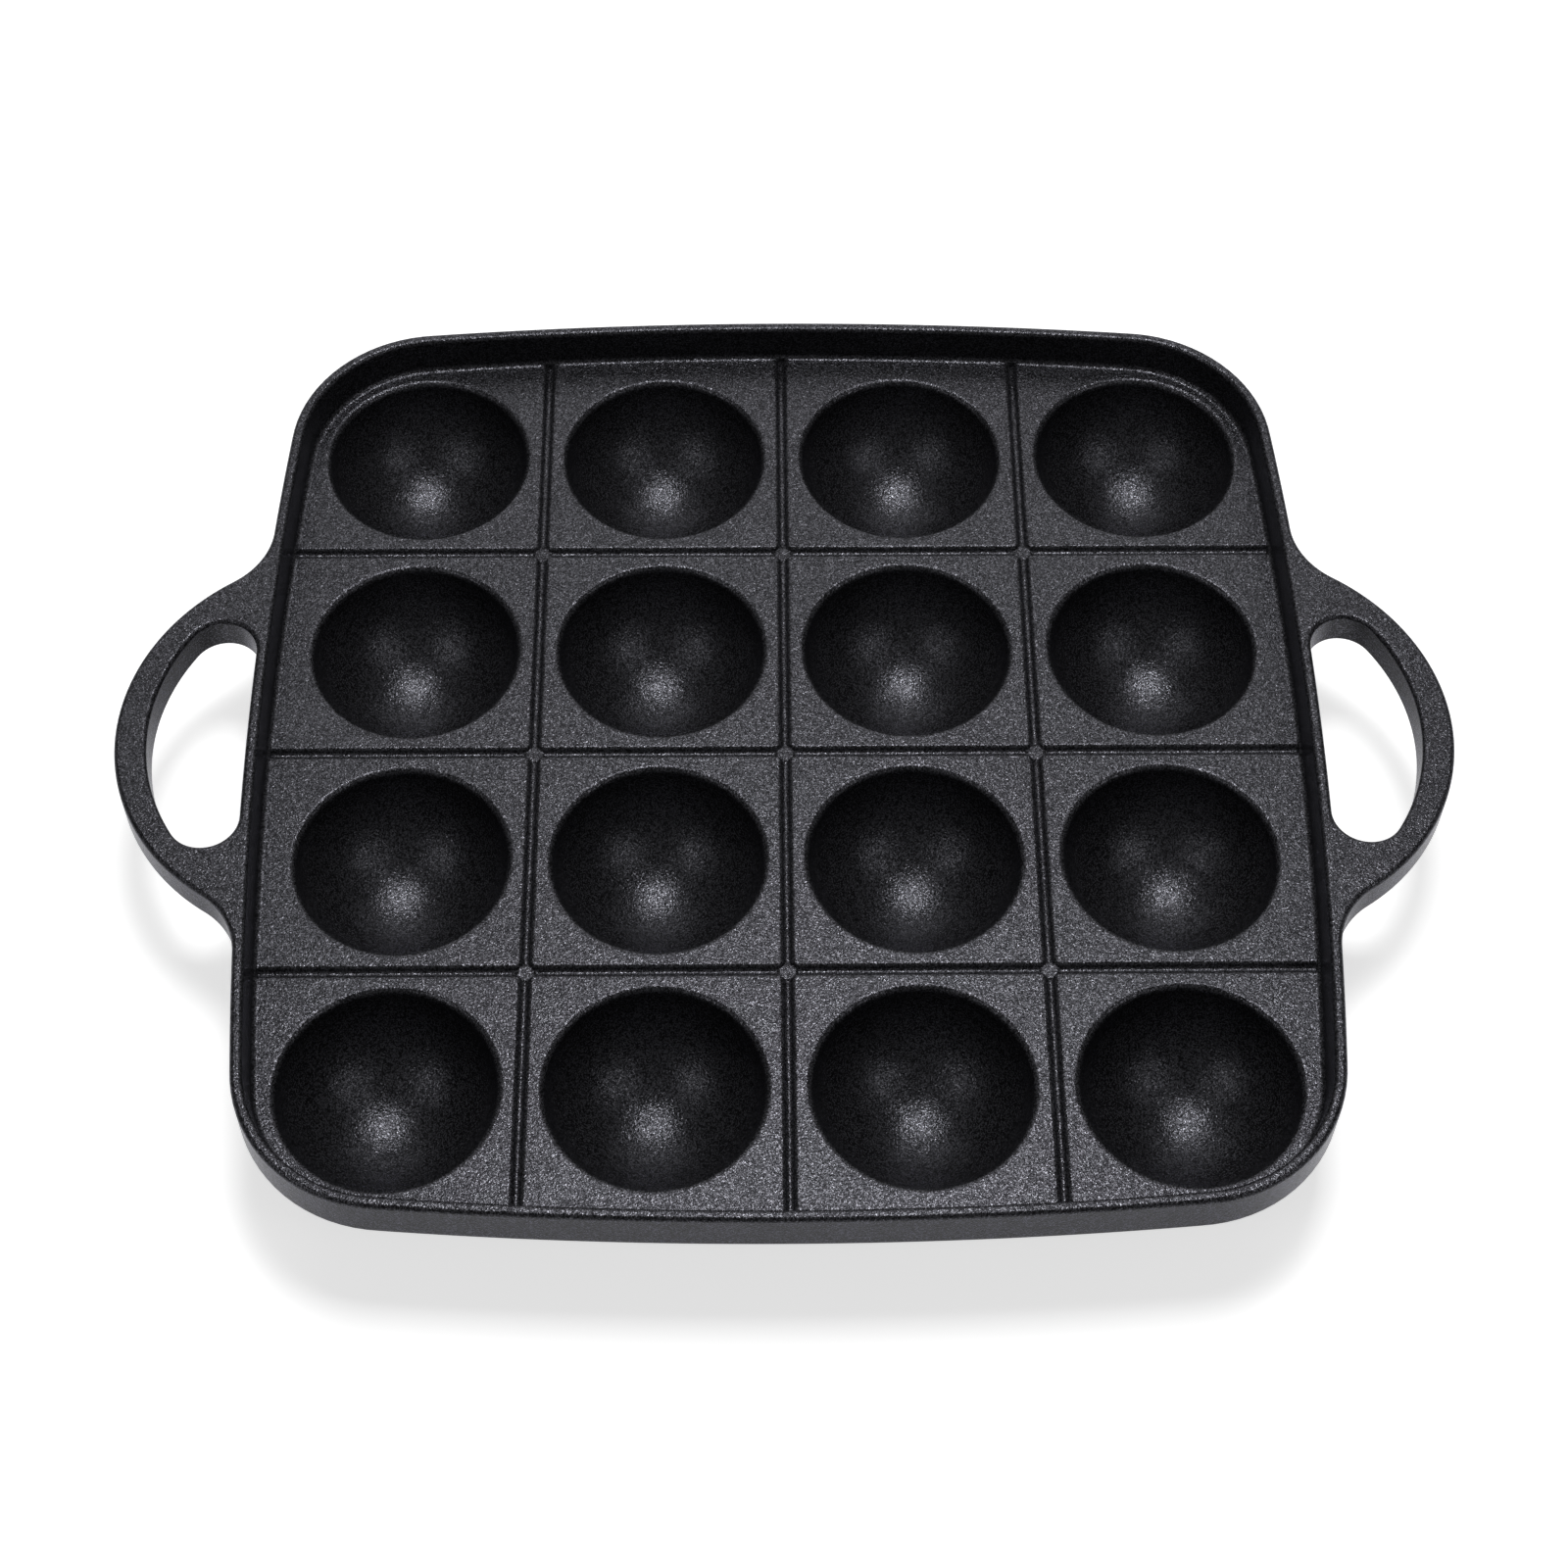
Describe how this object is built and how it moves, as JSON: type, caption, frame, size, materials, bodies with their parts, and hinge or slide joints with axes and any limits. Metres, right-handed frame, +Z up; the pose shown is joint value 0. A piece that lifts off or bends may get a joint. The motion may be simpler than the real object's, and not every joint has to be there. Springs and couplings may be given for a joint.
{
  "type": "takoyaki pan",
  "caption": "Square stove-top griddle casting with a grid of round wells, dividing grooves, a low rim and a loop handle at each side.",
  "frame": {"origin": "on the surface that the pan stands on, under the middle of the grid of wells", "axes": "+X through the right handle, +Y away from the cook, +Z up, out of the wells"},
  "size_m": [0.2746, 0.2208, 0.0328],
  "materials": {
    "nonstick_casting": "cast aluminium under a dark charcoal non-stick coating, satin, with a fine sparkling grain"
  },
  "bodies": {
    "root": {"well_plate": "nonstick_casting", "rim_wall": "nonstick_casting", "left_handle": "nonstick_casting", "right_handle": "nonstick_casting"}
  },
  "joints": []
}
